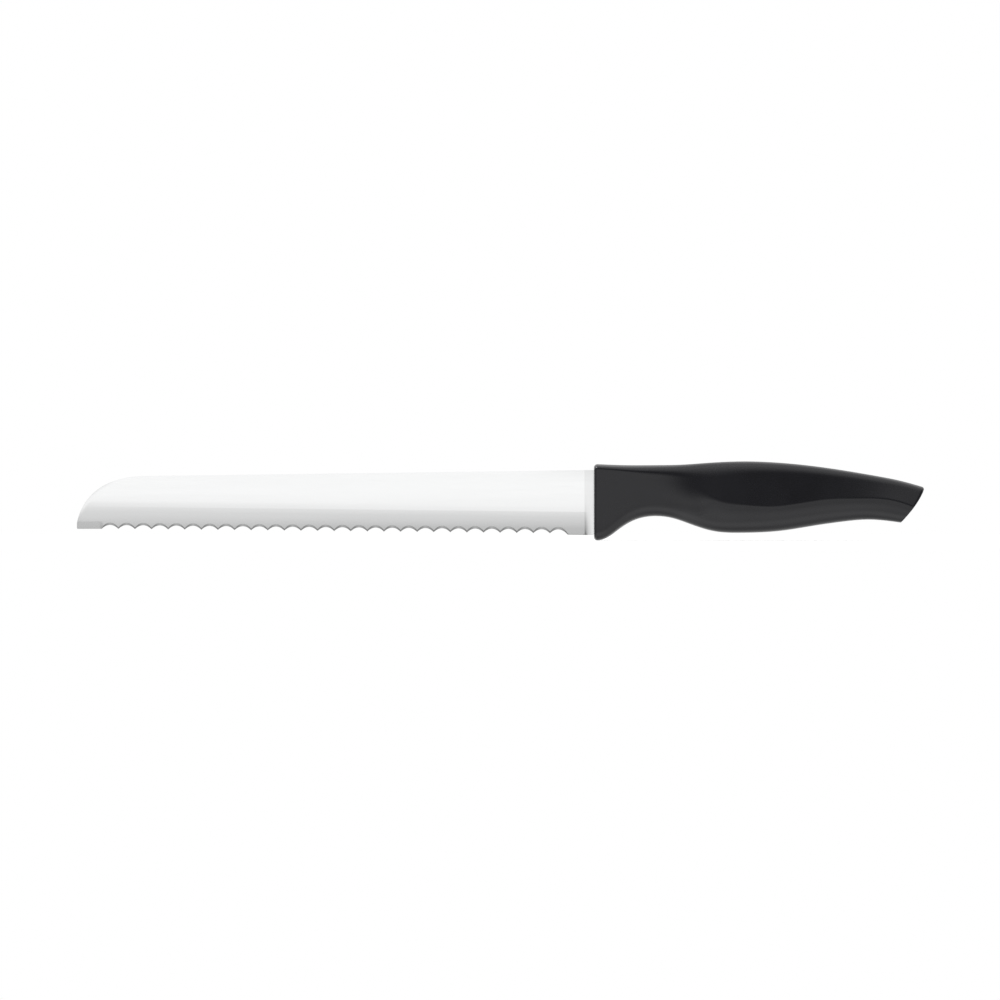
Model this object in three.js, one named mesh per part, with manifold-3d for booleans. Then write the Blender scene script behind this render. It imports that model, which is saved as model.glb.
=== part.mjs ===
// A household bread knife: a serrated stainless blade whose tang is held in a moulded plastic handle.
//
// Frame, in millimetres: +X runs along the knife towards the butt of the handle, +Z towards the spine,
// and Y is the thickness. The origin is on the blade's middle plane, where the blade enters the handle's
// front face, on the line halfway between the blade's spine and its edge. The scallops are ground into
// the -Y side of the edge.

import * as THREE from 'three';
import { mergeVertices } from 'three/addons/utils/BufferGeometryUtils.js';
import Module from 'manifold-3d';

const wasm = await Module();
wasm.setup();

// ---- Driving dimensions ------------------------------------------------------------------------

// Blade
const BLADE_LENGTH = 200; // tip to the handle's front face
const BLADE_THICKNESS = 1.6; // of the ground and polished sides
const STRIP_THICKNESS = 1.8; // of the steel strip, kept by the tang
const SPINE_Z_AT_HEEL = 12.6;
const SPINE_Z_AT_TIP = 10.3;
const TIP_CURVE_LENGTH = 28; // how far back from the tip the spine starts to drop
const TIP_UPPER_PULL = { back: 14, z: 10.55 }; // the two points that pull the tip's curve, as handles
const TIP_LOWER_PULL = { back: 2.7, z: 5.4 }; // of a Bezier curve: distance back from the tip, and z
const TIP_CORNER_Z = -8; // where the tip's curve turns into its short upright corner
const EDGE_Z_AT_TIP = -10.2;
const EDGE_Z_AT_HEEL = -12.6;

// Grind: a flat bevel on both sides, from a line below the middle down to the edge
const GRIND_Z_AT_TIP = -1.5;
const GRIND_Z_AT_HEEL = -3.7;
const EDGE_HALF_THICKNESS = 0.15;
const PLUNGE_X = -3.6; // the bevel stops here, short of the handle

// Serration: round scallops ground from one side
const SCALLOP_COUNT = 28;
const SCALLOP_PITCH = 6.42;
const LAST_SCALLOP_X = -10.65; // the heel-side end of the row
const SCALLOP_DEPTH = 1.7;
const SCALLOP_OVERRUN = 1.35; // each grinding arc runs on past its chord by this share
const TOOTH_Z_AT_TIP = -10.1; // the line through the points of the teeth, where neighbouring
const TOOTH_Z_AT_HEEL = -12.05; // scallops meet, stays above the plain edge at the heel
const FACET_ANGLE = THREE.MathUtils.degToRad(33); // between a scallop's facet and the blade's side

// Tang
const SHOULDER_LENGTH = 3; // how far the blade's full height reaches into the handle
const TANG_LENGTH = 100;
const TANG_TOP_Z = [9.5, 6]; // at its root and at its end
const TANG_BOTTOM_Z = [0, -1.5];
const TANG_ROOT_RADIUS = 2;
const LOCK_HOLE_RADIUS = 2.5;
const LOCK_HOLE_X = [32, 56, 80];

// Handle
const HANDLE_LENGTH = 127.6; // front face to the butt's upper corner
const BUTT_LEAN = 8.7; // how much shorter the handle is along its underside
const BUTT_BULGE = 0.95; // how far the butt's face swells out between its corners
const TAIL_START_X = 70; // the cross-sections start to lean over here
const FRONT_EDGE_RADIUS = 1.4;
const BUTT_EDGE_RADIUS = 0.8;
const SKIN_THICKNESS = 3; // of the grip over the core
const CORE_FRONT_X = 6;
const CORE_END_X = 120;
const FIT_GAP = 0.3; // between a moulding and what it is moulded around
const LEAST_FLANK = 1; // height that the ridge keeps from the top and from the bottom

// Fineness of the facets
const OUTLINE_ARC_STEPS = 12;
const SCALLOP_ARC_STEPS = 8;
const GRIP = { stationSpacing: 3.4, cornerSteps: 4 };
const CORE = { stationSpacing: 6, cornerSteps: 2 };
const RIDGE_STEPS = 2;
const END_EDGE_STEPS = 4;

// Size of the blocks that cut the blade, beyond the blade itself
const BLOCK_MARGIN = 10;
const BLOCK_HEIGHT = 80;

// The handle's side view and widths, each as a smooth curve through [x, value] points
const crownZ = curve([
  [0, 14.9], [12, 14.45], [24, 14.45], [34, 14.65], [42, 15.2], [57, 15.9], [70, 15.5], [89, 13.55],
  [108, 10.5], [119, 8.3], [HANDLE_LENGTH, 5.9],
]);
const keelZ = curve([
  [0, -14.75], [3, -14.4], [6, -13], [10, -10.05], [15, -7.05], [20, -5.55], [24, -5.25],
  [30, -5.95], [37, -8.25], [46, -11], [57, -11.7], [72, -10.95], [86, -8.8], [96, -7.4], [106, -6.6],
  [HANDLE_LENGTH - BUTT_LEAN, -7.8],
]);
const ridgeZ = curve([
  [0, 8.5], [8, 8.9], [16, 10.4], [26, 11.6], [32, 10.6], [37, 8.2], [41.8, 5.1], [46, 2.9],
  [52, 0.6], [57.3, -0.7], [68, -1.25], [80.5, 0.15], [91.3, 1.6], [101.4, 1.75], [110.6, 1.3],
  [HANDLE_LENGTH, -2],
]);
const crownHalfWidth = curve([
  [0, 7.2], [14, 6.9], [26, 6], [40, 4.8], [57, 4.6], [90, 3.9], [HANDLE_LENGTH, 3.6],
]);
const ridgeHalfWidth = curve([
  [0, 7.2], [14, 6.9], [26, 6.8], [40, 8.2], [57, 9.5], [75, 9], [105, 7.5], [HANDLE_LENGTH, 8.4],
]);
const keelHalfWidth = curve([
  [0, 7.2], [14, 6.6], [26, 6.2], [40, 7.2], [57, 8.4], [75, 7.9], [105, 6.6], [HANDLE_LENGTH, 7.4],
]);
const ridgeRound = curve([[0, 2], [26, 3], [40, 3], [52, 1], [HANDLE_LENGTH, 0.8]]);
const CROWN_ROUND = 4;
const KEEL_ROUND = 4;

// ---- Geometry helpers --------------------------------------------------------------------------

function curve(points) {
  const xs = points.map((point) => point[0]);
  const values = points.map((point) => point[1]);
  const spline = new THREE.CubicInterpolant(xs, values, 1, new Float32Array(1));
  return (x) => spline.evaluate(THREE.MathUtils.clamp(x, xs[0], xs.at(-1)))[0];
}

function lerpPair([atStart, atEnd], share) {
  return THREE.MathUtils.lerp(atStart, atEnd, share);
}

function solid(geometry) {
  const bare = geometry.clone();
  bare.deleteAttribute('normal');
  bare.deleteAttribute('uv');
  const merged = mergeVertices(bare, 1e-5);
  return new wasm.Manifold(new wasm.Mesh({
    numProp: 3,
    vertProperties: new Float32Array(merged.attributes.position.array),
    triVerts: new Uint32Array(merged.index.array),
  }));
}

function meshOf(name, body, material) {
  const { vertProperties, triVerts } = body.getMesh();
  const geometry = new THREE.BufferGeometry();
  geometry.setAttribute('position', new THREE.BufferAttribute(vertProperties, 3));
  geometry.setIndex(new THREE.BufferAttribute(triVerts, 1));
  geometry.computeVertexNormals();
  const mesh = new THREE.Mesh(geometry, material);
  mesh.name = name;
  return mesh;
}

// A plate whose outline is drawn in X and Z, centred on the blade's middle plane
function plate(shape, thickness) {
  const geometry = new THREE.ExtrudeGeometry(shape, {
    depth: thickness,
    bevelEnabled: false,
    curveSegments: OUTLINE_ARC_STEPS,
  });
  geometry.rotateX(Math.PI / 2);
  geometry.translate(0, thickness / 2, 0);
  return solid(geometry);
}

// ---- Blade -------------------------------------------------------------------------------------

// The strip's outline: blade, shoulder and tang. grow makes it larger all round, for the space that
// the mouldings leave around it, and then the lock holes shrink.
function stripOutline(grow) {
  const tipX = -BLADE_LENGTH;
  const firstScallopX = LAST_SCALLOP_X - SCALLOP_COUNT * SCALLOP_PITCH;
  const tangEndX = TANG_LENGTH + grow;
  const shoulderX = SHOULDER_LENGTH + grow;
  const shape = new THREE.Shape();
  shape.moveTo(tipX, EDGE_Z_AT_TIP);
  shape.lineTo(firstScallopX, EDGE_Z_AT_TIP);
  shape.lineTo(0, EDGE_Z_AT_HEEL - grow);
  shape.lineTo(shoulderX, EDGE_Z_AT_HEEL - grow);
  shape.lineTo(shoulderX, TANG_BOTTOM_Z[0] - TANG_ROOT_RADIUS);
  shape.quadraticCurveTo(
    shoulderX, TANG_BOTTOM_Z[0] - grow,
    shoulderX + TANG_ROOT_RADIUS, TANG_BOTTOM_Z[0] - grow,
  );
  shape.lineTo(tangEndX, TANG_BOTTOM_Z[1] - grow);
  shape.lineTo(tangEndX, TANG_TOP_Z[1] + grow);
  shape.lineTo(shoulderX, TANG_TOP_Z[0] + grow);
  shape.lineTo(shoulderX, SPINE_Z_AT_HEEL + grow);
  shape.lineTo(0, SPINE_Z_AT_HEEL + grow);
  shape.lineTo(tipX + TIP_CURVE_LENGTH, SPINE_Z_AT_TIP);
  shape.bezierCurveTo(
    tipX + TIP_UPPER_PULL.back, TIP_UPPER_PULL.z,
    tipX + TIP_LOWER_PULL.back, TIP_LOWER_PULL.z,
    tipX, TIP_CORNER_Z,
  );
  for (const x of LOCK_HOLE_X) {
    const share = x / TANG_LENGTH;
    const z = (lerpPair(TANG_TOP_Z, share) + lerpPair(TANG_BOTTOM_Z, share)) / 2;
    const hole = new THREE.Path();
    hole.absarc(x, z, LOCK_HOLE_RADIUS - grow, 0, 2 * Math.PI);
    shape.holes.push(hole);
  }
  return shape;
}

// The space beyond one polished side of the blade, up to where it enters the handle
function sideStock(side) {
  const depth = (STRIP_THICKNESS - BLADE_THICKNESS) / 2;
  const length = BLADE_LENGTH + BLOCK_MARGIN;
  const geometry = new THREE.BoxGeometry(length, 2 * depth, BLOCK_HEIGHT);
  geometry.translate(-length / 2, side * (BLADE_THICKNESS / 2 + depth), 0);
  return solid(geometry);
}

// The space beyond the flat bevel on one side, as a block with one face on the bevel's plane
function grindStock(side) {
  const half = BLADE_THICKNESS / 2;
  const lineStart = new THREE.Vector3(-BLADE_LENGTH, side * half, GRIND_Z_AT_TIP);
  const lineEnd = new THREE.Vector3(PLUNGE_X, side * half, GRIND_Z_AT_HEEL);
  const middleX = (lineStart.x + lineEnd.x) / 2;
  const edge = new THREE.Vector3(
    middleX, side * EDGE_HALF_THICKNESS,
    lerpPair([EDGE_Z_AT_HEEL, EDGE_Z_AT_TIP], -middleX / BLADE_LENGTH),
  );
  const along = lineEnd.clone().sub(lineStart).normalize();
  const outward = along.clone().cross(edge.sub(lineStart)).normalize().multiplyScalar(side);
  const up = along.clone().cross(outward);
  const length = lineEnd.distanceTo(lineStart) + BLOCK_MARGIN;
  const block = new THREE.BoxGeometry(length, BLOCK_MARGIN, BLOCK_HEIGHT);
  block.translate(-length / 2, BLOCK_MARGIN / 2, 0);
  block.applyMatrix4(new THREE.Matrix4().makeBasis(along, outward, up).setPosition(lineEnd));
  return solid(block);
}

// One scallop's grinding cut. Seen from the side it is an arc over one pitch, and it leans by the
// facet's angle so that it reaches higher on the -Y side.
function scallopStock(index) {
  const x = LAST_SCALLOP_X - (index + 0.5) * SCALLOP_PITCH;
  const halfChord = SCALLOP_PITCH / 2;
  const sagitta = SCALLOP_DEPTH * Math.sin(FACET_ANGLE);
  const radius = (halfChord ** 2 + sagitta ** 2) / (2 * sagitta);
  const halfArc = Math.asin(Math.min(1, SCALLOP_OVERRUN * halfChord / radius));
  const segment = new THREE.Shape();
  segment.absarc(0, -radius, radius, Math.PI / 2 + halfArc, Math.PI / 2 - halfArc, true);
  const length = 4 * BLADE_THICKNESS;
  const cut = new THREE.ExtrudeGeometry(segment, {
    depth: length,
    bevelEnabled: false,
    curveSegments: SCALLOP_ARC_STEPS,
  });
  cut.translate(0, 0, -length / 2);
  cut.rotateX(FACET_ANGLE);
  const toothZ = lerpPair([TOOTH_Z_AT_HEEL, TOOTH_Z_AT_TIP], -x / BLADE_LENGTH);
  cut.translate(x, EDGE_HALF_THICKNESS, toothZ + SCALLOP_DEPTH);
  return solid(cut);
}

function bladeBody() {
  let body = plate(stripOutline(0), STRIP_THICKNESS);
  for (const side of [-1, 1]) {
    body = body.subtract(sideStock(side)).subtract(grindStock(side));
  }
  for (let index = 0; index < SCALLOP_COUNT; index++) {
    body = body.subtract(scallopStock(index));
  }
  return body;
}

// ---- Handle ------------------------------------------------------------------------------------

// Points of a rounded corner: a curve that leaves each side at `round` from the corner
function roundedCorner(before, corner, after, round, steps) {
  const start = corner.clone().lerp(before, Math.min(0.5, round / corner.distanceTo(before)));
  const end = corner.clone().lerp(after, Math.min(0.5, round / corner.distanceTo(after)));
  return new THREE.QuadraticBezierCurve(start, corner, end).getPoints(steps);
}

// Half of a cross-section, from the crown's middle to the keel's, as [half-width, height] points.
// inset makes it smaller all round.
function halfSection(x, inset, cornerSteps) {
  const top = crownZ(x) - inset;
  const bottom = keelZ(keelX(x)) + inset;
  const crownMiddle = new THREE.Vector2(0, top);
  const crown = new THREE.Vector2(crownHalfWidth(x) - inset, top);
  const ridge = new THREE.Vector2(ridgeHalfWidth(x) - inset, ridgeZ(x));
  const keel = new THREE.Vector2(keelHalfWidth(x) - inset, bottom);
  const keelMiddle = new THREE.Vector2(0, bottom);
  ridge.y = THREE.MathUtils.clamp(ridge.y, bottom + LEAST_FLANK, top - LEAST_FLANK);
  return [
    crownMiddle,
    ...roundedCorner(crownMiddle, crown, ridge, CROWN_ROUND, cornerSteps),
    ...roundedCorner(crown, ridge, keel, ridgeRound(x), RIDGE_STEPS),
    ...roundedCorner(ridge, keel, keelMiddle, KEEL_ROUND, cornerSteps),
    keelMiddle,
  ];
}

// How far the cross-section at x leans: 0 up to the tail, 1 at the butt
function leanShare(x) {
  return Math.max(0, (x - TAIL_START_X) / (HANDLE_LENGTH - TAIL_START_X)) ** 2;
}

// Where the cross-section that meets the crown at x meets the keel
function keelX(x) {
  return x - BUTT_LEAN * leanShare(x);
}

// A closed body through cross-sections at the given stations, each { x, inset }
function handleLoft(stations, cornerSteps) {
  const rings = stations.map(({ x, inset }) => {
    const half = halfSection(x, inset, cornerSteps);
    const otherHalf = half.slice(1, -1).reverse().map((point) => new THREE.Vector2(-point.x, point.y));
    return [...half, ...otherHalf];
  });
  const ringSize = rings[0].length;
  const rows = stations.length - 1;
  const geometry = new THREE.CylinderGeometry(1, 1, 1, ringSize, rows);
  const position = geometry.attributes.position;
  for (let i = 0; i < position.count; i++) {
    const row = Math.round((0.5 - position.getY(i)) * rows);
    const turn = Math.atan2(position.getX(i), position.getZ(i)) / (2 * Math.PI);
    const step = (Math.round(turn * ringSize) + ringSize) % ringSize;
    const onAxis = Math.hypot(position.getX(i), position.getZ(i)) < 0.5;
    const { x } = stations[row];
    const top = rings[row][0].y;
    const bottom = rings[row][ringSize / 2].y;
    const point = onAxis ? new THREE.Vector2(0, (top + bottom) / 2) : rings[row][step];
    const drop = (top - point.y) / (top - bottom);
    const lean = leanShare(x) * (BUTT_BULGE * 4 * drop * (1 - drop) - BUTT_LEAN * drop);
    position.setXYZ(i, x + lean, point.x, point.y);
  }
  return solid(geometry);
}

// Stations from x0 to x1, a set distance apart, all with one inset
function evenStations(x0, x1, spacing, inset) {
  const count = Math.ceil((x1 - x0) / spacing);
  return Array.from({ length: count + 1 }, (_, i) => ({
    x: x0 + (x1 - x0) * i / count,
    inset,
  }));
}

// Stations along a rounded edge, where the section shrinks by a quarter circle towards faceX
function edgeStations(faceX, inward, radius) {
  return Array.from({ length: END_EDGE_STEPS }, (_, i) => {
    const angle = (Math.PI / 2) * i / END_EDGE_STEPS;
    return {
      x: faceX + inward * radius * (1 - Math.cos(angle)),
      inset: radius * (1 - Math.sin(angle)),
    };
  });
}

function gripOutside() {
  const front = edgeStations(0, 1, FRONT_EDGE_RADIUS);
  const butt = edgeStations(HANDLE_LENGTH, -1, BUTT_EDGE_RADIUS).reverse();
  const middle = evenStations(FRONT_EDGE_RADIUS, HANDLE_LENGTH - BUTT_EDGE_RADIUS, GRIP.stationSpacing, 0);
  return handleLoft([...front, ...middle, ...butt], GRIP.cornerSteps);
}

function coreOutside(grow) {
  const inset = SKIN_THICKNESS - grow;
  const stations = evenStations(CORE_FRONT_X - grow, CORE_END_X + grow, CORE.stationSpacing, inset);
  return handleLoft(stations, CORE.cornerSteps);
}

function stripSpace() {
  return plate(stripOutline(FIT_GAP), STRIP_THICKNESS + 2 * FIT_GAP);
}

function gripBody() {
  return gripOutside().subtract(coreOutside(FIT_GAP)).subtract(stripSpace());
}

function coreBody() {
  return coreOutside(0).subtract(stripSpace());
}

// ---- Materials and assembly --------------------------------------------------------------------

const steel = new THREE.MeshStandardMaterial({ color: '#d3d4d6', roughness: 0.25, metalness: 1 });
const blackPlastic = new THREE.MeshStandardMaterial({ color: '#1a1a1c', roughness: 0.35, metalness: 0 });
const corePlastic = new THREE.MeshStandardMaterial({ color: '#2b2b2e', roughness: 0.6, metalness: 0 });

const knife = new THREE.Group();
knife.name = 'bread_knife';
knife.add(
  meshOf('blade', bladeBody(), steel),
  meshOf('handle_core', coreBody(), corePlastic),
  meshOf('handle_grip', gripBody(), blackPlastic),
);

export default knife;
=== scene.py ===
# A household bread knife: a serrated stainless blade in a moulded black plastic handle.
#
# Frame: +X runs along the knife towards the butt of the handle, +Z towards the spine, Y is the
# thickness, and the scallops are ground into the -Y side of the edge.

import math

import bmesh
import bpy
import numpy as np
from mathutils import Matrix, Vector


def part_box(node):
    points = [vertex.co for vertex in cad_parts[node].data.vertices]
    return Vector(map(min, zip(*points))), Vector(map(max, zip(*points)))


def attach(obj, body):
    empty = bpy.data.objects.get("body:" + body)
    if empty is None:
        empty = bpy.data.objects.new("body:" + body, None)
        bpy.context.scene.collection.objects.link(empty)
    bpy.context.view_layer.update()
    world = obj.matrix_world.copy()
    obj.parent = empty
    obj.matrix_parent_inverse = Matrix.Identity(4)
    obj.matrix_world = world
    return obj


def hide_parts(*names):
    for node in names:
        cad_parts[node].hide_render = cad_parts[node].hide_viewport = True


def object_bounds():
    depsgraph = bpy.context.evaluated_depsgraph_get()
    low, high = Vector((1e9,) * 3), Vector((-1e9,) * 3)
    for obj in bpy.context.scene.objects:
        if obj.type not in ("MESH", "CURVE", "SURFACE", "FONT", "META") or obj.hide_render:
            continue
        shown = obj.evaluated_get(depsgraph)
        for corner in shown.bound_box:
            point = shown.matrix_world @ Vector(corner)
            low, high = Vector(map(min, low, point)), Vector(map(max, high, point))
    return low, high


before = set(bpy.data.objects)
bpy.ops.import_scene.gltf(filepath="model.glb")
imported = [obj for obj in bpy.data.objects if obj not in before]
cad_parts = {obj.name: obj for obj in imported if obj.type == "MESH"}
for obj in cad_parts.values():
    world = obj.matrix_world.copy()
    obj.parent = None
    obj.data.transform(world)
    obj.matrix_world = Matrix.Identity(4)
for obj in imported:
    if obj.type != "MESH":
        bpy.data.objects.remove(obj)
cad_lo, cad_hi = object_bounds()
grip_lo, grip_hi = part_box("handle_grip")
blade_lo, blade_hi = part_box("blade")

# ---- Driving dimensions ------------------------------------------------------------------------
# The shapes are drawn in millimetres at this handle length, and MM turns a drawn millimetre into
# metres of the frame.

HANDLE_LENGTH = 127.6
MM = (grip_hi.x - grip_lo.x) / HANDLE_LENGTH

# Blade
BLADE_LENGTH = -blade_lo.x / MM
TANG_END_X = blade_hi.x / MM
TANG_THICKNESS = (blade_hi.y - blade_lo.y) / MM
POLISHED_OFF = 0.2  # taken off the thickness of the blade, but not of the tang
HALF_BLADE = (TANG_THICKNESS - POLISHED_OFF) / 2
SPINE_Z_AT_HEEL = blade_hi.z / MM
SPINE_Z_AT_TIP = SPINE_Z_AT_HEEL - 2.3
EDGE_Z_AT_HEEL = blade_lo.z / MM
EDGE_Z_AT_TIP = EDGE_Z_AT_HEEL + 2.4
TIP_CURVE_LENGTH = 28
TIP_UPPER_PULL = (-BLADE_LENGTH + 14, SPINE_Z_AT_TIP + 0.25)  # control points of the tip's curve
TIP_LOWER_PULL = (-BLADE_LENGTH + 2.7, 5.4)
TIP_CORNER_Z = -8
SHOULDER_END_X = 2.9  # the blade's full height ends here, inside the handle

# Grind: a slightly rounded bevel on both sides, with a soft start above its line
GRIND_Z_AT_TIP = -1.5
GRIND_Z_AT_HEEL = -3.7
SOFT_TOP_Z = 3.6  # the soft start begins here
SOFT_DROP = 0.1  # and has taken this much off each side at the bevel's line
EDGE_HALF_THICKNESS = 0.15
GRIND_TOP_SLOPE = 0.62  # slope at the bevel's line, as a share of its mean slope
PLUNGE_X = -3.6  # the bevel stops here, and its end curves out to the full thickness
PLUNGE_LENGTH = 3.2
FACET_FADE = 0.4  # the cutting edge's facet stops this far short of it

# Serration
SCALLOP_COUNT = 28
SCALLOP_PITCH = 6.42
LAST_SCALLOP_X = -10.65
FIRST_SCALLOP_X = LAST_SCALLOP_X - SCALLOP_COUNT * SCALLOP_PITCH
SCALLOP_DEPTH = 1.7
TOOTH_Z_AT_TIP = EDGE_Z_AT_TIP + 0.1  # the line through the points of the teeth, where
TOOTH_Z_AT_HEEL = EDGE_Z_AT_HEEL + 0.55  # neighbouring scallops meet
FACET_ANGLE = math.radians(33)
EDGE_FLAT = 0.03  # width of the cutting edge itself
HALF_CHORD = SCALLOP_PITCH / 2
SAGITTA = SCALLOP_DEPTH * math.sin(FACET_ANGLE)
SCALLOP_RADIUS = (HALF_CHORD**2 + SAGITTA**2) / (2 * SAGITTA)

# The tip's straight facet, on the scalloped side, and the dulled band along the tip's curve
TIP_FACET_HEIGHT = 2.85
TIP_FACET_SLOPE = math.tan(math.radians(5))
TIP_FACET_FADE = 0.8  # it fades out over this much on each side of the first scallop's start
TIP_CORNER_CUT = 0.3  # the tip's lowest corner is taken off by this much
TIP_BAND_WIDTH = 1.4
TIP_BAND_DROP = 0.06
TIP_BAND_FADE = (9, 22)  # distances from the tip between which the band fades out

# Tang
TANG_ROOT_X = 1.5
TANG_TOP_Z = (9.5, 6.0)
TANG_BOTTOM_Z = (0.0, -1.5)
TANG_CORNER = 1.5
TANG_EDGE_ROUND = 0.13  # more than the step from the tang to the blade's sides, so they cross
LOCK_HOLE_RADIUS = 2.5
LOCK_HOLE_X = (32, 56, 80)

# Handle
BUTT_LEAN = 8.7  # how much nearer to the blade the keel ends than the crown
BUTT_BULGE = 0.95  # how far the butt's leaning end curves out
TAIL_START_X = 70
FRONT_ROUND = 1.4
BUTT_ROUND = 0.8
SKIN_THICKNESS = 3.0
CORE_FRONT_X = 6
CORE_END_X = 120
FIT_GAP = 0.3
SLOT_GAP = 0.15
SLOT_CORNER = 0.3
LEAST_FLANK = 1.0  # least height of each flank

# How finely the shapes are drawn
STEPS_PER_SCALLOP = 26
LEAST_EDGE_ROW = 0.05  # the facets' top is at least this far above the cutting edge
LEAST_ROW_SHARE = 0.03  # least height of each part of the blade's side, as a share of the whole
HANDLE_STATIONS = 240
CORNER_STEPS = 14
FLANK_STEPS = 9


def smooth_curve(*points):
    """A curve through [x, value] points, with no jump in slope or bend (a natural cubic spline)."""
    xs, values = np.array(points, float).T
    gaps = np.diff(xs)
    slopes = np.diff(values) / gaps
    matrix = np.eye(len(xs))
    sides = np.zeros(len(xs))
    for i in range(1, len(xs) - 1):
        matrix[i, i - 1 : i + 2] = gaps[i - 1], 2 * (gaps[i - 1] + gaps[i]), gaps[i]
        sides[i] = 6 * (slopes[i] - slopes[i - 1])
    bends = np.linalg.solve(matrix, sides)

    def at(x):
        x = np.clip(x, xs[0], xs[-1])
        i = np.clip(np.searchsorted(xs, x, side="right") - 1, 0, len(xs) - 2)
        gap = gaps[i]
        before = xs[i + 1] - x
        after = x - xs[i]
        bent = (bends[i] * before**3 + bends[i + 1] * after**3) / (6 * gap)
        start = (values[i] / gap - bends[i] * gap / 6) * before
        end = (values[i + 1] / gap - bends[i + 1] * gap / 6) * after
        return bent + start + end

    return at


# The handle's outline, and the three lines along its side: the crown where the top meets the upper
# flank, the ridge between the flanks, and the keel where the lower flank meets the underside. Each
# pair is a distance from the handle's front face, and a height, a half-width or a rounding there.

crown_z = smooth_curve(
    (0, 14.9), (12, 14.45), (24, 14.45), (34, 14.65), (42, 15.2), (57, 15.9), (70, 15.5),
    (89, 13.55), (108, 10.5), (119, 8.3), (HANDLE_LENGTH, 5.9),
)
keel_z = smooth_curve(
    (0, -14.75), (3, -14.4), (6, -13), (10, -10.05), (15, -7.05), (20, -5.55), (24, -5.25),
    (30, -5.95), (37, -8.25), (46, -11), (57, -11.7), (72, -10.95), (86, -8.8), (96, -7.4),
    (106, -6.6), (HANDLE_LENGTH - BUTT_LEAN, -7.8),
)
ridge_z = smooth_curve(
    (0, 8), (16, 5), (26, 3), (33, 1.2), (38, 0.3), (42, 0.6), (45, 0.9), (49, -0.1), (53, -0.9),
    (57.3, -1.2), (68, -1.75), (80.5, -0.4), (91.3, 1.1), (101.4, 1.4), (110.6, 1.5), (121, 0.1),
    (HANDLE_LENGTH, -1.9),
)
crown_half_width = smooth_curve(
    (0, 7.2), (14, 6.9), (26, 6.1), (33, 5.2), (41, 4.3), (57, 4.6), (90, 3.9), (HANDLE_LENGTH, 3.6),
)
ridge_half_width = smooth_curve(
    (0, 7.2), (14, 6.9), (26, 6.8), (33, 7.4), (37, 8.2), (41, 8.8), (57, 9.5), (75, 9), (105, 7.5),
    (HANDLE_LENGTH, 8.4),
)
keel_half_width = smooth_curve(
    (0, 7.2), (14, 6.6), (26, 6), (40, 6.4), (57, 7.6), (75, 7.2), (105, 6), (HANDLE_LENGTH, 7),
)
crown_round = smooth_curve(
    (0, 2), (10, 2.4), (18, 3.3), (26, 4), (33, 4.8), (41, 5.8), (57, 5.6), (72, 4.6), (88, 3.6),
    (104, 2.9), (HANDLE_LENGTH, 2.2),
)
ridge_round = smooth_curve(
    (0, 2), (20, 4), (33, 6.5), (38, 6.5), (42, 5), (45, 2.4), (50, 1.3), (57, 0.8), (75, 0.6),
    (HANDLE_LENGTH, 0.6),
)
keel_round = smooth_curve((0, 4), (10, 5.5), (20, 5), (35, 4), (57, 4.5), (HANDLE_LENGTH, 3))
CROWN_ARCH = 0.93  # share of the crown's half-width that its rounding takes up
LOWER_FLANK_BULGE = 0.09
BULGE_GROWS = (38, 52)  # the lower flank's bulge starts and reaches its full size here


# ---- Mesh helpers ------------------------------------------------------------------------------


def loft(name, rings):
    """A closed piece through rings of points in drawn millimetres, all with one point count."""
    rings = np.asarray(rings, float)
    stations, around = rings.shape[:2]
    index = np.arange(stations * around).reshape(stations, around)
    turned = np.roll(index, -1, axis=1)
    quads = np.stack((index[:-1], turned[:-1], turned[1:], index[1:]), axis=-1).reshape(-1, 4)
    ends = [index[0].tolist(), index[-1][::-1].tolist()]
    mesh = bpy.data.meshes.new(name)
    mesh.from_pydata((rings.reshape(-1, 3) * MM).tolist(), [], quads.tolist() + ends)
    face_outward(mesh)
    return add_piece(name, mesh)


def face_outward(mesh, weld=0.0):
    """Turns every face outward, and first joins points that are nearer than weld, in metres."""
    work = bmesh.new()
    work.from_mesh(mesh)
    if weld > 0:
        bmesh.ops.remove_doubles(work, verts=work.verts, dist=weld)
    bmesh.ops.recalc_face_normals(work, faces=work.faces)
    work.to_mesh(mesh)
    work.free()


def add_piece(name, mesh):
    piece = bpy.data.objects.new(name, mesh)
    bpy.context.scene.collection.objects.link(piece)
    return piece


def combine(piece, tool, operation):
    """Joins tool to piece (UNION) or cuts it out (DIFFERENCE), and removes tool."""
    modifier = piece.modifiers.new(operation.lower(), "BOOLEAN")
    modifier.operation = operation
    modifier.solver = "EXACT"
    modifier.object = tool
    shaped = piece.evaluated_get(bpy.context.evaluated_depsgraph_get())
    mesh = bpy.data.meshes.new_from_object(shaped)
    piece.modifiers.clear()
    piece.data = mesh
    bpy.data.objects.remove(tool)


def shade(piece, sharp_above):
    """Smooth shading, with creases where two faces meet at more than sharp_above degrees."""
    mesh = piece.data
    mesh.polygons.foreach_set("use_smooth", [True] * len(mesh.polygons))
    mesh.set_sharp_from_angle(angle=math.radians(sharp_above))


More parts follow.
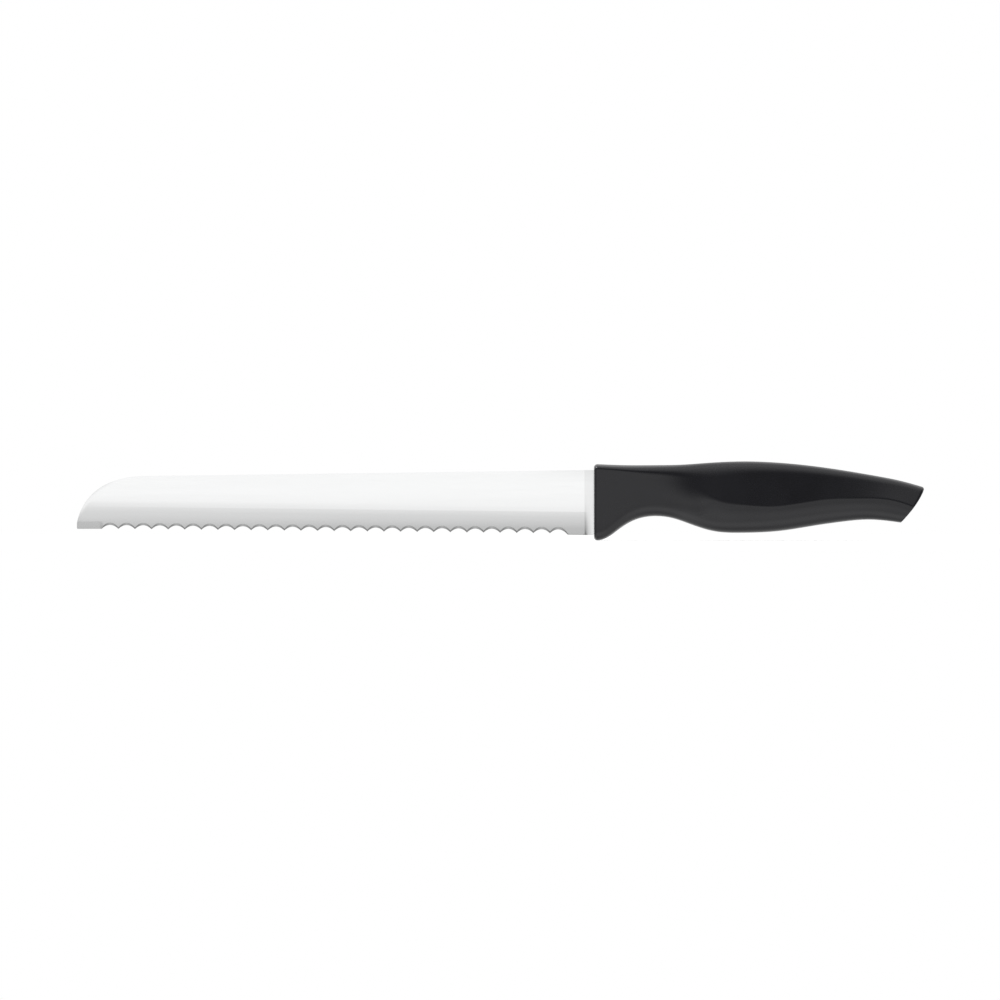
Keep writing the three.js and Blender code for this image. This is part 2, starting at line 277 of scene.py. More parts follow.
def outline_plate(name, outlines, thickness, round_edge):
    """A plate with its outline, then its holes, drawn in X and Z."""
    drawing = bpy.data.curves.new(name, "CURVE")
    drawing.dimensions = "2D"
    drawing.fill_mode = "BOTH"
    drawing.extrude = (thickness / 2 - round_edge) * MM
    drawing.bevel_depth = round_edge * MM
    drawing.bevel_resolution = 1
    drawing.offset = -round_edge * MM
    for outline in outlines:
        spline = drawing.splines.new("POLY")
        spline.points.add(len(outline) - 1)
        for point, (x, z) in zip(spline.points, outline):
            point.co = (x * MM, z * MM, 0, 1)
        spline.use_cyclic_u = True
    holder = add_piece(name, drawing)
    mesh = bpy.data.meshes.new_from_object(
        holder.evaluated_get(bpy.context.evaluated_depsgraph_get())
    )
    bpy.data.objects.remove(holder)
    mesh.transform(Matrix.Rotation(math.pi / 2, 4, "X"))
    face_outward(mesh, weld=1e-7)
    return add_piece(name, mesh)


def arc(centre, radius, start, end, steps):
    """Points of an arc in a plane, from one angle to another in degrees."""
    angles = np.radians(np.linspace(start, end, steps + 1))
    return [(centre[0] + radius * math.cos(a), centre[1] + radius * math.sin(a)) for a in angles]


def smooth_step(x, start, end):
    """0 up to start, 1 from end on, and a soft rise in between."""
    share = np.clip((x - start) / (end - start), 0, 1)
    return share * share * (3 - 2 * share)


# ---- Blade -------------------------------------------------------------------------------------


def edge_line_z(x):
    """The strip's lower edge, before the scallops are ground."""
    xs = [-BLADE_LENGTH, FIRST_SCALLOP_X, 0]
    return np.interp(x, xs, [EDGE_Z_AT_TIP, EDGE_Z_AT_TIP, EDGE_Z_AT_HEEL])


def tooth_line_z(x):
    return np.interp(x, [-BLADE_LENGTH, 0], [TOOTH_Z_AT_TIP, TOOTH_Z_AT_HEEL])


def grind_line_z(x):
    return np.interp(x, [-BLADE_LENGTH, 0], [GRIND_Z_AT_TIP, GRIND_Z_AT_HEEL])


def half_thickness(x, z):
    """Half the blade's thickness at x and z, before the scallops are ground."""
    line = grind_line_z(x)
    soft = np.clip((SOFT_TOP_Z - z) / (SOFT_TOP_Z - line), 0, 1)
    down = np.clip((line - z) / (line - edge_line_z(x)), 0, 1)
    bevel = GRIND_TOP_SLOPE * down + (1 - GRIND_TOP_SLOPE) * down**2
    ground = HALF_BLADE - SOFT_DROP * soft**2 - (HALF_BLADE - SOFT_DROP - EDGE_HALF_THICKNESS) * bevel
    short = 1 - np.clip((x - PLUNGE_X) / PLUNGE_LENGTH, 0, 1)
    return HALF_BLADE + (ground - HALF_BLADE) * short**2


def facet_reach(x):
    """How far the scallops' facets reach in from the -Y side, along the grinding wheel's axis."""
    nearest = np.clip(np.floor((LAST_SCALLOP_X - x) / SCALLOP_PITCH), 0, SCALLOP_COUNT - 1)
    centre = LAST_SCALLOP_X - (nearest + 0.5) * SCALLOP_PITCH
    across = np.clip(np.abs(x - centre), 0, 0.9 * SCALLOP_RADIUS)  # keeps the root real
    apex = EDGE_HALF_THICKNESS * math.cos(FACET_ANGLE)
    apex = apex + (tooth_line_z(centre) + SCALLOP_DEPTH) * math.sin(FACET_ANGLE)
    scallop = apex - (SCALLOP_RADIUS - np.sqrt(SCALLOP_RADIUS**2 - across**2))
    plain = (EDGE_HALF_THICKNESS - EDGE_FLAT) * math.cos(FACET_ANGLE)
    plain = plain + edge_line_z(x) * math.sin(FACET_ANGLE)
    past_plunge = smooth_step(x, PLUNGE_X - FACET_FADE, PLUNGE_X)  # 1 mm keeps it off the blade
    return np.maximum(scallop, plain) - past_plunge


def facet_meets(x, side):
    """Height at which the facets meet the blade's side: +1 for the cutting edge, -1 for its top."""
    z = edge_line_z(x) + SCALLOP_DEPTH / 2
    for _ in range(12):
        y = side * half_thickness(x, z) - (EDGE_FLAT if side > 0 else 0)
        z = (facet_reach(x) - y * math.cos(FACET_ANGLE)) / math.sin(FACET_ANGLE)
    return z


def front_y(x, z):
    """The scalloped side of the blade."""
    above = edge_line_z(x) + TIP_FACET_HEIGHT
    fade_start = FIRST_SCALLOP_X - TIP_FACET_FADE
    share = 1 - smooth_step(x, fade_start, FIRST_SCALLOP_X + TIP_FACET_FADE)
    side = -half_thickness(x, z) + TIP_FACET_SLOPE * np.maximum(0, above - z) * share
    facet = (facet_reach(x) - z * math.sin(FACET_ANGLE)) / math.cos(FACET_ANGLE)
    return np.minimum(np.maximum(side, facet), half_thickness(x, z) - EDGE_FLAT)


def tip_curve(share):
    """The tip's outline, from the straight spine (0) to its lower corner (1)."""
    points = np.array((
        (-BLADE_LENGTH + TIP_CURVE_LENGTH, SPINE_Z_AT_TIP),
        TIP_UPPER_PULL,
        TIP_LOWER_PULL,
        (-BLADE_LENGTH, TIP_CORNER_Z),
    ))
    share = np.asarray(share, float)[:, None]
    rest = 1 - share
    weights = (rest**3, 3 * rest**2 * share, 3 * rest * share**2, share**3)
    return sum(weight * point for weight, point in zip(weights, points))


def column_places():
    """Bottom x of each column of the blade's mesh up to the tip's plain edge, heel first."""
    plunge_end = PLUNGE_X + PLUNGE_LENGTH
    facet_end = PLUNGE_X - FACET_FADE
    return np.concatenate((
        np.linspace(SHOULDER_END_X, plunge_end, 9)[:-1],
        np.linspace(plunge_end, PLUNGE_X, 25)[:-1],
        np.linspace(PLUNGE_X, facet_end, 5)[:-1],
        np.linspace(facet_end, LAST_SCALLOP_X, 20)[:-1],
        np.linspace(LAST_SCALLOP_X, FIRST_SCALLOP_X, STEPS_PER_SCALLOP * SCALLOP_COUNT + 1),
    ))


def blade_columns():
    """Each column's bottom x, top x and top z."""
    straight = column_places()
    shares = np.linspace(0, 1, 400)
    curve = tip_curve(shares)
    spine_x = np.concatenate((curve[::-1, 0], [0]))
    spine_z = np.concatenate((curve[::-1, 1], [SPINE_Z_AT_HEEL]))
    straight_top = np.interp(straight, spine_x, spine_z)
    first_share = np.interp(-FIRST_SCALLOP_X, -curve[:, 0], shares)
    nose_z = np.linspace(TIP_CORNER_Z, EDGE_Z_AT_TIP + TIP_CORNER_CUT, 8)[1:]
    nose = np.stack((np.full_like(nose_z, -BLADE_LENGTH), nose_z), axis=-1)
    tip = np.concatenate((tip_curve(np.linspace(first_share, 1, 48)), nose))
    steps = np.hypot(*np.diff(tip, axis=0).T)
    along = np.cumsum(steps) / steps.sum()
    tip = tip[1:]
    tip_bottom = FIRST_SCALLOP_X + (TIP_CORNER_CUT - BLADE_LENGTH - FIRST_SCALLOP_X) * along
    bottom_x = np.concatenate((straight, tip_bottom))
    top_x = np.concatenate((straight, tip[:, 0]))
    top_z = np.concatenate((straight_top, tip[:, 1]))
    return bottom_x, top_x, top_z


def tip_band(x, z):
    """1 on the tip's curved outline, falling to 0 at TIP_BAND_WIDTH from it and towards the heel."""
    outline = np.concatenate((tip_curve(np.linspace(0, 1, 300)), [(-BLADE_LENGTH, EDGE_Z_AT_TIP)]))
    distance = np.min(np.hypot(x[..., None] - outline[:, 0], z[..., None] - outline[:, 1]), axis=-1)
    distance = np.where(z < TIP_CORNER_Z, np.minimum(distance, x + BLADE_LENGTH), distance)
    fade = 1 - smooth_step(x + BLADE_LENGTH, *TIP_BAND_FADE)
    return np.clip(1 - distance / TIP_BAND_WIDTH, 0, 1) ** 2 * fade


def between(start, end, shares):
    return [start + (end - start) * share for share in shares]


def blade_rings():
    """The blade's mesh as rings around it: up the scalloped side and down the other."""
    bottom_x, top_x, top_z = blade_columns()
    bottom_z = np.maximum(edge_line_z(bottom_x), facet_meets(bottom_x, 1))
    height = top_z - bottom_z
    keys = [
        np.maximum(bottom_z + LEAST_EDGE_ROW, facet_meets(bottom_x, -1)),
        edge_line_z(bottom_x) + TIP_FACET_HEIGHT,
        grind_line_z(bottom_x),
        np.full_like(bottom_z, SOFT_TOP_Z),
        top_z - TIP_BAND_WIDTH,
    ]
    highest_shares = (0.3, 0.5, 0.75, 0.85, 0.9)  # these keep the keys in order at the low tip
    below = bottom_z
    for i, highest in enumerate(highest_shares):
        keys[i] = np.clip(keys[i], below + LEAST_ROW_SHARE * height, bottom_z + highest * height)
        below = keys[i]
    rows = between(bottom_z, keys[0], (0, 0.35, 0.7))
    rows += between(keys[0], keys[1], (0, 0.1, 0.5, 0.97))
    rows += between(keys[1], keys[2], (0, 0.02, 0.15, 0.3, 0.45, 0.6, 0.75, 0.9, 0.99))
    rows += between(keys[2], keys[3], (0, 0.015, 0.2, 0.4, 0.6, 0.8))
    rows += between(keys[3], keys[4], (0, 0.25, 0.5, 0.75, 1))
    rows += between(keys[4], top_z, (0.25, 0.5, 0.75, 1))
    z = np.array(rows)
    x = bottom_x + (top_x - bottom_x) * (z - bottom_z) / height
    thinner = 1 - TIP_BAND_DROP / HALF_BLADE * tip_band(x, z)
    front_side = np.stack((x, front_y(x, z) * thinner, z), axis=-1)
    back_side = np.stack((x, half_thickness(x, z) * thinner, z), axis=-1)[::-1]
    return np.concatenate((front_side, back_side)).transpose(1, 0, 2)


def tang_outlines():
    """The tang's outline, and its lock holes along its middle line."""

    def middle_z(x):
        share = x / TANG_END_X
        top = TANG_TOP_Z[0] + (TANG_TOP_Z[1] - TANG_TOP_Z[0]) * share
        bottom = TANG_BOTTOM_Z[0] + (TANG_BOTTOM_Z[1] - TANG_BOTTOM_Z[0]) * share
        return (top + bottom) / 2

    end = TANG_END_X - TANG_CORNER
    plate = [(TANG_ROOT_X, TANG_BOTTOM_Z[0])]
    plate += arc((end, TANG_BOTTOM_Z[1] + TANG_CORNER), TANG_CORNER, -90, 0, 6)
    plate += arc((end, TANG_TOP_Z[1] - TANG_CORNER), TANG_CORNER, 0, 90, 6)
    plate.append((TANG_ROOT_X, TANG_TOP_Z[0]))
    holes = [arc((x, middle_z(x)), LOCK_HOLE_RADIUS, 360, 10, 35) for x in LOCK_HOLE_X]
    return [plate] + holes


def make_blade():
    blade = loft("blade_steel", blade_rings())
    tang = outline_plate("tang", tang_outlines(), TANG_THICKNESS, TANG_EDGE_ROUND)
    combine(blade, tang, "UNION")
    shade(blade, sharp_above=14)
    return blade


# ---- Handle ------------------------------------------------------------------------------------


def lean_share(x):
    """How far the cross-section at x leans: 0 up to the tail, 1 at the butt."""
    return max(0, (x - TAIL_START_X) / (HANDLE_LENGTH - TAIL_START_X)) ** 2


def rounded_corner(before, corner, after, round_before, round_after):
    """Points of a corner rounded off from a distance before it to a distance after it."""
    start = corner + (before - corner) * round_before / np.linalg.norm(before - corner)
    end = corner + (after - corner) * round_after / np.linalg.norm(after - corner)
    share = np.linspace(0, 1, CORNER_STEPS + 1)[:, None]
    return start * (1 - share) ** 2 + 2 * corner * share * (1 - share) + end * share**2


def bulged_line(start, end, bulge):
    """Points between start and end, pushed out by up to bulge, and straight where they reach end."""
    share = np.linspace(0, 1, FLANK_STEPS + 1)[1:-1, None]
    along = end - start
    outward = np.array((-along[1], along[0])) / np.linalg.norm(along)
    # share * (1 - share)**2 is 4 / 27 at its highest
    return start + along * share + outward * bulge * 27 / 4 * share * (1 - share) ** 2


def half_section(x, inset):
    """Half of a cross-section of the handle, crown to keel, as (half-width, height) points."""
    top = crown_z(x) - inset
    bottom = keel_z(x - BUTT_LEAN * lean_share(x)) + inset
    ridge_height = np.clip(ridge_z(x), bottom + LEAST_FLANK, top - LEAST_FLANK)
    crown_middle = np.array((0, top))
    crown = np.array((crown_half_width(x) - inset, top))
    ridge = np.array((ridge_half_width(x) - inset, ridge_height))
    keel = np.array((keel_half_width(x) - inset, bottom))
    keel_middle = np.array((0, bottom))
    upper = np.linalg.norm(ridge - crown)
    lower = np.linalg.norm(keel - ridge)
    # The roundings stay within shares of the flanks' lengths, so that neighbours never overlap
    round_crown = min(crown_round(x), 0.5 * upper)
    round_keel = min(keel_round(x), 0.55 * lower)
    round_ridge = min(ridge_round(x), 0.45 * upper)
    run_out = min(ridge_round(x), 0.95 * lower - round_keel)
    round_under = min(keel_round(x), 0.9 * keel[0])
    at_crown = rounded_corner(crown_middle, crown, ridge, CROWN_ARCH * crown[0], round_crown)
    at_ridge = rounded_corner(crown, ridge, keel, round_ridge, run_out)
    at_keel = rounded_corner(ridge, keel, keel_middle, round_keel, round_under)
    bulge = LOWER_FLANK_BULGE * smooth_step(x, *BULGE_GROWS)
    return np.concatenate((
        [crown_middle],
        at_crown,
        bulged_line(at_crown[-1], at_ridge[0], 0),
        at_ridge,
        bulged_line(at_ridge[-1], at_keel[0], bulge),
        at_keel,
        [keel_middle],
    ))


def section_ring(x, inset):
    """A whole cross-section in place, leaning in the tail."""
    half = half_section(x, inset)
    around = np.concatenate((half, half[-2:0:-1] * (-1, 1)))
    top, bottom = half[0, 1], half[-1, 1]
    drop = (top - around[:, 1]) / (top - bottom)
    shift = lean_share(x) * (BUTT_BULGE * 4 * drop * (1 - drop) - BUTT_LEAN * drop)
    return np.stack((x + shift, around[:, 0], around[:, 1]), axis=-1)


def rounded_end(face_x, inward, radius, steps):
    """Rings of a rounded edge, from its face inwards."""
    turns = np.linspace(0, math.pi / 2, steps + 1)[:-1]
    return [
        section_ring(face_x + inward * radius * (1 - math.cos(turn)), radius * (1 - math.sin(turn)))
        for turn in turns
    ]


def grip_rings():
    middle = np.linspace(FRONT_ROUND, HANDLE_LENGTH - BUTT_ROUND, HANDLE_STATIONS)
    rings = rounded_end(0, 1, FRONT_ROUND, 9)
    rings += [section_ring(x, 0) for x in middle]
    return rings + rounded_end(HANDLE_LENGTH, -1, BUTT_ROUND, 7)[::-1]


def core_space():
    """The room inside the grip for the core and the gap around it."""
    inset = SKIN_THICKNESS - FIT_GAP
    places = np.linspace(CORE_FRONT_X - FIT_GAP, CORE_END_X + FIT_GAP, 40)
    return loft("core_space", [section_ring(x, inset) for x in places])


def slot_space():
    """The gap that the blade's shoulder goes through, in the handle's front wall."""
    half = HALF_BLADE + SLOT_GAP - SLOT_CORNER
    low = EDGE_Z_AT_HEEL - SLOT_GAP + SLOT_CORNER
    high = SPINE_Z_AT_HEEL + SLOT_GAP - SLOT_CORNER
    outline = []
    for quarter, middle in enumerate(((half, high), (-half, high), (-half, low), (half, low))):
        outline += arc(middle, SLOT_CORNER, 90 * quarter, 90 * quarter + 90, 3)
    rings = [[(x, y, z) for y, z in outline] for x in (-1, SHOULDER_END_X + FIT_GAP)]
    return loft("slot_space", rings)


def tang_space():
    """The gap that the tang goes through, between the slot and the core."""
    half = TANG_THICKNESS / 2 + FIT_GAP
    high = TANG_TOP_Z[0] + FIT_GAP
    low = TANG_BOTTOM_Z[0] - FIT_GAP
    outline = [(half, high), (-half, high), (-half, low), (half, low)]
    rings = [[(x, y, z) for y, z in outline] for x in (SHOULDER_END_X, CORE_FRONT_X + 1)]
    return loft("tang_space", rings)


def make_grip():
    grip = loft("grip_shell", grip_rings())
    for space in (core_space(), slot_space(), tang_space()):
        combine(grip, space, "DIFFERENCE")
    shade(grip, sharp_above=40)
    return grip


# ---- Materials ---------------------------------------------------------------------------------

# Steel: the brightness of its parts, and factors on it; all but the polished tone, the random
# variation and the tint are painted shade
POLISHED_TONE = 0.79
# painted shade: the bevel and the facets are painted darker than the polished sides, and the bevel
# darker still towards the cutting edge
BEVEL_PAINTED_SHADE_TONE = 0.655  # at the bevel's line
BEVEL_EDGE_PAINTED_SHADE_TONE = 0.505  # at the cutting edge
FACET_PAINTED_SHADE_TONE = 0.38
TONE_VARIES = 0.006
STEEL_TINT = (0.995, 1.0, 1.0)
# painted shade: the scallops' walls that face along the blade are painted darker
SCALLOP_END_PAINTED_SHADE = 0.55  # factor where a scallop faces along the blade, at its ends
SCALLOP_END_FACES = 0.3  # share of X in the surface's direction where this factor is reached
# painted shade: the strip between the bevel's end and the handle is painted darker
HEEL_PAINTED_SHADE = 0.9  # factor on the strip between the bevel's end and the handle
HEEL_PAINTED_SHADE_FADE = 0.2
# painted shadow: the polished side is painted darker towards the spine at the heel, by the handle
CORNER_PAINTED_SHADE = 0.08  # how much darker the blade gets towards the spine at the heel
CORNER_PAINTED_SHADE_START = 0.6  # share of the spine's height where that starts
CORNER_PAINTED_SHADE_LENGTH = 32

# Steel: how far down a surface has to face for a part's finish and painted shade to start, and to be
# complete
BEVEL_FACES_DOWN = (0.02, 0.05)
FACET_FACES_DOWN = (0.08, 0.22)

# Steel: blotches of its grain in a metre along each axis, its depth in metres, and how rough it is
GRAIN_ALONG = (120, 5000, 5000)
GRAIN_BROAD = (25, 500, 500)
GRAIN_ACROSS = (6000, 300, 300)
GRAIN_DEPTH = 3e-7
POLISHED_ROUGHNESS = 0.16
BEVEL_ROUGHNESS = 0.2
FACET_ROUGHNESS = 0.3
ROUGHNESS_VARIES = 0.02

# Plastic: blotches in a metre along each axis, and their depths in metres
CLOUDS = (60, 60, 60)
CLOUD_DEPTH = 2e-5
PEBBLES = (2500, 2500, 2500)
PEBBLE_DEPTH = 2e-6
FLOW_MARKS = (40, 150, 150)
FLOW_DEPTH = 5e-5
GRIT = (1500, 1500, 1500)
GRIT_DEPTH = 1e-5

# Plastic: each pair of tones or roughnesses is the two ends of a soft variation
PLASTIC_TONES = (0.0045, 0.006)
PLASTIC_TINT = (1, 1, 1.4)
PLASTIC_ROUGHNESS = (0.25, 0.29)
PLASTIC_IOR = 1.43
WORN_EDGES = (0.51, 0.56)  # how raised an edge is where wear starts, and where it is full
WORN_TONE = 0.003
WORN_SMOOTHER = 0.05
CORE_TONES = (0.018, 0.03)
CORE_TINT = (1, 1, 1.05)
CORE_ROUGHNESS = (0.55, 0.7)


class Nodes:
    """A node tree being put together."""

    def __init__(self, tree):
        self.tree = tree

    def link(self, source, target):
        self.tree.links.new(source, target)

    def fill(self, node, inputs):
        """Sets a node's inputs, by name or number, each to a value or to another node's result."""
        for key, source in inputs.items():
            if isinstance(source, bpy.types.NodeSocket):
                self.link(source, node.inputs[key])
            else:
                node.inputs[key].default_value = source

    def add(self, kind, inputs=None, **settings):
        node = self.tree.nodes.new(kind)
        for key, setting in settings.items():
            setattr(node, key, setting)
        self.fill(node, inputs or {})
        return node

    def maths(self, operation, first, second=0.0):
        return self.add("ShaderNodeMath", {0: first, 1: second}, operation=operation).outputs[0]

    def mixed(self, share, first, second):
        """first to second, as share goes from 0 to 1."""
        return self.add("ShaderNodeMix", {"Factor": share, "A": first, "B": second}).outputs[0]

    def spread(self, value, low, high, start=0.3, end=0.7):
        """value, from start to end, becomes low to high."""
        limits = {"Value": value, "From Min": start, "From Max": end, "To Min": low, "To Max": high}
        return self.add("ShaderNodeMapRange", limits).outputs["Result"]

    def parts(self, vector):
        """A vector's X, Y and Z, by name."""
        return self.add("ShaderNodeSeparateXYZ", {"Vector": vector}).outputs


class Shader(Nodes):
    """A node material being put together."""

    def __init__(self, name):
        self.material = bpy.data.materials.new(name)
        self.material.use_nodes = True
        super().__init__(self.material.node_tree)
        self.surface = self.tree.nodes["Principled BSDF"]
        self.place = self.add("ShaderNodeTexCoord").outputs["Object"]

    def noise(self, per_metre, detail=2.0):
        """Soft noise from 0 to 1, with about per_metre blotches in a metre along each axis."""
        finer = self.add("ShaderNodeMapping", {"Vector": self.place, "Scale": per_metre})
        inputs = {"Vector": finer.outputs["Vector"], "Scale": 1.0, "Detail": detail}
        return self.add("ShaderNodeTexNoise", inputs).outputs["Fac"]

    def grey(self, value, tint):
        """Gives the surface a brightness, times a factor each for red, green and blue."""
        channels = {
            name: self.maths("MULTIPLY", value, factor)
            for name, factor in zip(("Red", "Green", "Blue"), tint)
        }
        colour = self.add("ShaderNodeCombineColor", channels)
        self.link(colour.outputs["Color"], self.surface.inputs["Base Color"])

    def set(self, **inputs):
        self.fill(self.surface, inputs)

    def bump(self, *layers):
        """layers: (height from 0 to 1, depth in metres), finest last."""
        below = {}
        for height, depth in layers:
            inputs = {"Height": height, "Distance": depth, "Strength": 1.0, **below}
            below = {"Normal": self.add("ShaderNodeBump", inputs).outputs["Normal"]}
        self.set(**below)

    def edges(self, start, end):
        """1 on the mesh's raised edges, 0 elsewhere."""
        geometry = self.add("ShaderNodeNewGeometry")
        return self.spread(geometry.outputs["Pointiness"], 0, 1, start, end)


def steel():
    """Polished along the blade on its sides, ground across it on the bevel and the facets, with
    painted shade in its colour.
    """
    shader = Shader("brushed_steel")
    place = shader.parts(shader.place)
    facing = shader.parts(shader.add("ShaderNodeNewGeometry").outputs["Normal"])
    down = shader.maths("MULTIPLY", facing["Z"], -1)
    ground = shader.spread(down, 0, 1, *BEVEL_FACES_DOWN)
    faceted = shader.spread(down, 0, 1, *FACET_FACES_DOWN)
    grain = shader.mixed(ground, shader.noise(GRAIN_ALONG), shader.noise(GRAIN_ACROSS))
    tone = steel_tone(shader, place, facing, ground, faceted)
    varies = shader.spread(shader.noise(GRAIN_BROAD), -TONE_VARIES, TONE_VARIES)
    shader.grey(shader.maths("ADD", tone, varies), STEEL_TINT)
    rough = shader.mixed(ground, POLISHED_ROUGHNESS, BEVEL_ROUGHNESS)
    rough = shader.mixed(faceted, rough, FACET_ROUGHNESS)
    fine = shader.spread(grain, -ROUGHNESS_VARIES, ROUGHNESS_VARIES)
    shader.set(Metallic=1.0, Roughness=shader.maths("ADD", fine, rough))
    shader.bump((grain, GRAIN_DEPTH))
    return shader.material


def steel_tone(shader, place, facing, ground, faceted):
    """The steel's brightness, with painted shade laid on by where a point is, which way it faces and
    how it is ground.
    """
    line = (GRIND_Z_AT_TIP + GRIND_Z_AT_HEEL) / 2 * MM
    # painted shade, darker towards the cutting edge and on surfaces that face down
    near_edge_painted_shade = shader.spread(place["Z"], 1, 0, EDGE_Z_AT_TIP * MM, line)
    near_edge_painted_shade = shader.maths("POWER", near_edge_painted_shade, 2)
    bevel = shader.mixed(near_edge_painted_shade, BEVEL_PAINTED_SHADE_TONE, BEVEL_EDGE_PAINTED_SHADE_TONE)
    tone = shader.mixed(ground, POLISHED_TONE, bevel)
    tone = shader.mixed(faceted, tone, FACET_PAINTED_SHADE_TONE)
    # painted shade on the scallops' walls that face along the blade
    sideways = shader.maths("ABSOLUTE", facing["X"])
    scallop_end_painted_shade = shader.spread(sideways, 1, SCALLOP_END_PAINTED_SHADE, 0, SCALLOP_END_FACES)
    tone = shader.maths("MULTIPLY", tone, scallop_end_painted_shade)
    # painted shade on the strip by the handle
    heel_start = (PLUNGE_X - HEEL_PAINTED_SHADE_FADE) * MM
    heel = shader.spread(place["X"], 1, HEEL_PAINTED_SHADE, heel_start, PLUNGE_X * MM)
    tone = shader.maths("MULTIPLY", tone, heel)
    # painted shadow near the spine at the heel
    near_spine = shader.spread(place["Z"], 0, 1, CORNER_PAINTED_SHADE_START * blade_hi.z, blade_hi.z)
    near_heel = shader.spread(place["X"], 0, CORNER_PAINTED_SHADE, -CORNER_PAINTED_SHADE_LENGTH * MM, PLUNGE_X * MM)
    corner = shader.maths("MULTIPLY", near_spine, near_heel)
    return shader.maths("MULTIPLY", tone, shader.maths("SUBTRACT", 1.0, corner))


def grip_plastic():
    """Black plastic with a fine moulded texture, a little worn bright along its edges."""
    shader = Shader("satin_black_plastic")
    cloudy = shader.noise(CLOUDS, detail=3.0)
    pebble = shader.noise(PEBBLES)
    worn = shader.edges(*WORN_EDGES)
    brighter = shader.maths("MULTIPLY", worn, WORN_TONE)
    smoother = shader.maths("MULTIPLY", worn, WORN_SMOOTHER)
    shader.grey(shader.maths("ADD", shader.spread(cloudy, *PLASTIC_TONES), brighter), PLASTIC_TINT)
    rough = shader.maths("SUBTRACT", shader.spread(cloudy, *PLASTIC_ROUGHNESS), smoother)
    shader.set(Roughness=rough, IOR=PLASTIC_IOR)
    shader.bump((cloudy, CLOUD_DEPTH), (pebble, PEBBLE_DEPTH))
    return shader.material


def core_plastic():
    """Matt grey-black plastic, as it left its mould: coarse flow marks and no polish."""
    shader = Shader("matt_core_plastic")
    flow = shader.noise(FLOW_MARKS, detail=4.0)
    grit = shader.noise(GRIT)
    shader.grey(shader.spread(flow, *CORE_TONES), CORE_TINT)
    shader.set(Roughness=shader.spread(grit, *CORE_ROUGHNESS))
    shader.bump((flow, FLOW_DEPTH), (grit, GRIT_DEPTH))
    return shader.material


def give(piece, material):
    piece.data.materials.clear()
    piece.data.materials.append(material)


# ---- Studio ------------------------------------------------------------------------------------

# What the shiny surfaces see around them, each stop an elevation in degrees and a brightness: in
# front of the knife, and behind it
IN_FRONT = (
    (-90, 0.8), (-75, 0.9), (-60, 1.3), (-45, 1.6), (-30, 1.6), (-24, 1.27), (-16, 0.96),
    (-10, 0.92), (-5, 1.07), (0, 1.25), (5, 1.25), (10, 1.0), (20, 0.33), (30, 0.15), (40, 0.25),
    (50, 0.58), (60, 1.0), (70, 1.2), (90, 1.5),
)
BEHIND = (
    (-90, 0.9), (-40, 0.9), (-25, 1.15), (-12, 0.9), (0, 0.75), (10, 0.6), (25, 0.8), (40, 1.35),
    (65, 1.2), (80, 1.0), (90, 0.9),
)
BEHIND_FROM = 0.3  # Y of a direction from which only BEHIND counts
# A factor on both, each stop the X of a direction, -1 on the tip's side, and the factor
SIDEWAYS = (
    (-1, 0.6), (-0.62, 0.6), (-0.5, 1.4), (-0.4, 1.15), (-0.3, 1), (0.3, 1), (0.68, 0.75),
    (0.9, 0.4), (1, 0.3),
)
LAMP_DIRECTION = (-0.55, 0.09, 0.83)
LAMP_SIZE = 0.4
LAMP_BRIGHTNESS = 14.0
FILL_BRIGHTNESS = 0.7

FLOOR_HALF_SIZE = 40.0
FLOOR_TONE = 0.93
FLOOR_FADE = (0.3, 1.0)  # distances from the frame's origin between which it turns plain white

OVERHEAD_POWER = 14
OVERHEAD_SIZE = 5  # in lengths of the knife
OVERHEAD_HEIGHT = 4

LENS = 400.0
SENSOR = 36.0
KNIFE_SHARE_OF_PICTURE = 0.847
AIM = Vector((-0.16, 0, 0.35)) * MM  # from the middle of the knife's box


class Sky(Nodes):
    """The world's nodes being put together."""

    def __init__(self):
        world = bpy.data.worlds.new("studio")
        bpy.context.scene.world = world
        world.use_nodes = True
        super().__init__(world.node_tree)

    def ramp(self, source, start, end, stops):
        """A brightness through the stops, each a place between start and end, and a brightness."""
        node = self.add("ShaderNodeValToRGB", {"Fac": self.spread(source, 0, 1, start, end)})
        elements = node.color_ramp.elements
        while len(elements) < len(stops):
            elements.new(0.5)
        brightest = max(brightness for _, brightness in stops)
        for element, (place, brightness) in zip(elements, stops):
            element.position = (place - start) / (end - start)
            element.color = [brightness / brightest] * 3 + [1]
        return self.maths("MULTIPLY", node.outputs["Color"], brightest)


def make_world():
    """White to the camera, an even fill for matt surfaces, and the surroundings for shiny ones."""
    sky = Sky()
    direction = sky.add("ShaderNodeTexCoord").outputs["Generated"]
    parts = sky.parts(direction)
    elevation = sky.maths("DEGREES", sky.maths("ARCSINE", parts["Z"]))
    in_front = sky.ramp(elevation, -90, 90, IN_FRONT)
    behind = sky.ramp(elevation, -90, 90, BEHIND)
    shiny = sky.mixed(sky.spread(parts["Y"], 0, 1, 0, BEHIND_FROM), in_front, behind)
    shiny = sky.maths("MULTIPLY", shiny, sky.ramp(parts["X"], -1, 1, SIDEWAYS))
    toward_lamp = {0: direction, 1: LAMP_DIRECTION}
    off_lamp = sky.add("ShaderNodeVectorMath", toward_lamp, operation="DISTANCE").outputs["Value"]
    shiny = sky.maths("ADD", shiny, sky.spread(off_lamp, 0, LAMP_BRIGHTNESS, LAMP_SIZE, 0))
    path = sky.add("ShaderNodeLightPath").outputs
    seen = sky.mixed(path["Is Glossy Ray"], FILL_BRIGHTNESS, shiny)
    seen = sky.mixed(path["Is Camera Ray"], seen, 1.0)
    sky.fill(sky.tree.nodes["Background"], {"Color": (1, 1, 1, 1), "Strength": seen})


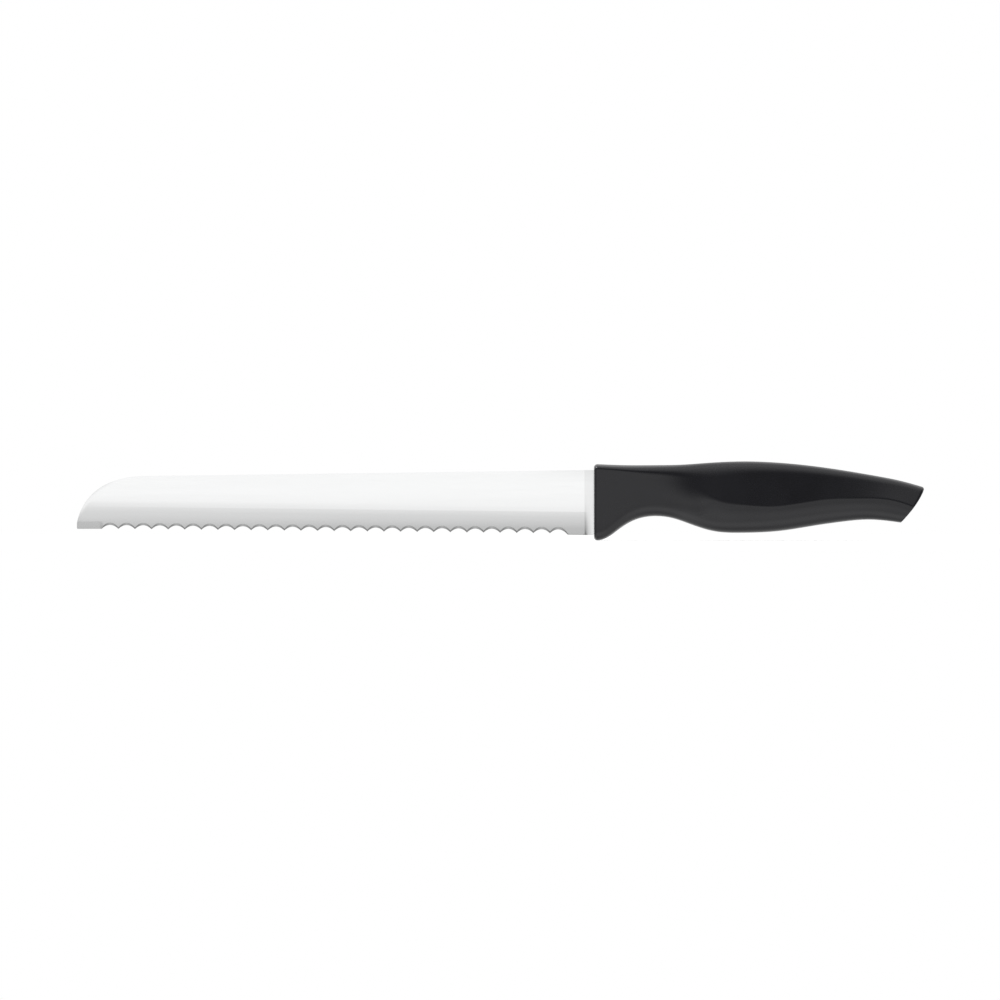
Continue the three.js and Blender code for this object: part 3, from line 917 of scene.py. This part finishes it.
def floor_material():
    """Pale and matt around the knife, plain white further off."""
    shader = Shader("pale_floor")
    shader.tree.nodes.remove(shader.surface)
    distance = shader.add("ShaderNodeVectorMath", {0: shader.place}, operation="LENGTH")
    far = shader.spread(distance.outputs["Value"], 0, 1, *FLOOR_FADE)
    matt = shader.add("ShaderNodeBsdfDiffuse", {"Color": (FLOOR_TONE, FLOOR_TONE, FLOOR_TONE, 1)})
    to_camera = shader.add("ShaderNodeLightPath").outputs["Is Camera Ray"]
    white = shader.add("ShaderNodeEmission", {"Strength": to_camera})
    both = {0: far, 1: matt.outputs["BSDF"], 2: white.outputs["Emission"]}
    mix = shader.add("ShaderNodeMixShader", both)
    shader.fill(shader.tree.nodes["Material Output"], {"Surface": mix.outputs["Shader"]})
    return shader.material


def make_floor(height):
    mesh = bpy.data.meshes.new("floor")
    size = FLOOR_HALF_SIZE
    corners = [(x * size, y * size, height) for x, y in ((-1, -1), (1, -1), (1, 1), (-1, 1))]
    mesh.from_pydata(corners, [], [(0, 1, 2, 3)])
    floor = add_piece("floor", mesh)
    give(floor, floor_material())
    floor.visible_glossy = False


def make_light(centre, length):
    """One large soft light overhead, for the floor and the matt surfaces."""
    lamp = bpy.data.lights.new("overhead", "AREA")
    lamp.shape = "DISK"
    lamp.size = OVERHEAD_SIZE * length
    lamp.energy = OVERHEAD_POWER
    light = bpy.data.objects.new("overhead", lamp)
    light.location = centre + Vector((0, 0, OVERHEAD_HEIGHT * length))
    light.visible_glossy = False
    bpy.context.scene.collection.objects.link(light)


def make_camera(lo, hi):
    """Square on to the knife's side, from far off, tip to the left."""
    data = bpy.data.cameras.new("camera")
    data.lens = LENS
    data.sensor_width = SENSOR
    camera = bpy.data.objects.new("camera", data)
    distance = (hi.x - lo.x) / KNIFE_SHARE_OF_PICTURE * LENS / SENSOR
    camera.location = (lo + hi) / 2 + AIM + Vector((0, -distance, 0))
    camera.rotation_euler = (math.pi / 2, 0, 0)
    bpy.context.scene.collection.objects.link(camera)
    bpy.context.scene.camera = camera


# ---- Putting it together -----------------------------------------------------------------------

blade = make_blade()
give(blade, steel())
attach(blade, "root")
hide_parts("blade")

grip = make_grip()
give(grip, grip_plastic())
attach(grip, "root")
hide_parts("handle_grip")

give(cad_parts["handle_core"], core_plastic())

make_world()
make_floor(cad_lo.z)
make_light((cad_lo + cad_hi) / 2, cad_hi.x - cad_lo.x)
make_camera(cad_lo, cad_hi)
bpy.context.scene.view_settings.view_transform = "Standard"
